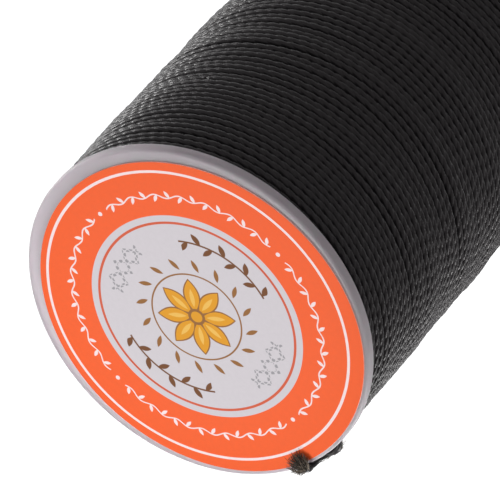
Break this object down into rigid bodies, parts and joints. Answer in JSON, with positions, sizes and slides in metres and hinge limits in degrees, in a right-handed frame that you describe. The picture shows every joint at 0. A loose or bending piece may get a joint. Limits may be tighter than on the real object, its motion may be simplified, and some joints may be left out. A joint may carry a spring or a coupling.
{
  "type": "waxed thread spool",
  "caption": "Round spool wound full with black waxed thread between thin milky flanges, with a printed orange paper label on the front end and an open bore at the rear.",
  "frame": {"origin": "middle of the rear flange's outer face, on which the spool stands", "axes": "+Z along the spool's axis, from the rear flange to the labelled front end; +X and +Y across it, with the thread's notch at -17 degrees from +X"},
  "size_m": [0.0302, 0.03, 0.0641],
  "materials": {
    "spool_plastic": "satin, milky white, slightly translucent",
    "thread": "waxed, satin",
    "label": "coated paper, satin"
  },
  "bodies": {
    "root": {"barrel": "spool_plastic", "rear_flange": "spool_plastic", "front_flange": "spool_plastic", "thread_pack": "thread", "thread_turns": "thread", "thread_tail": "thread", "front_label": "label"}
  },
  "joints": []
}
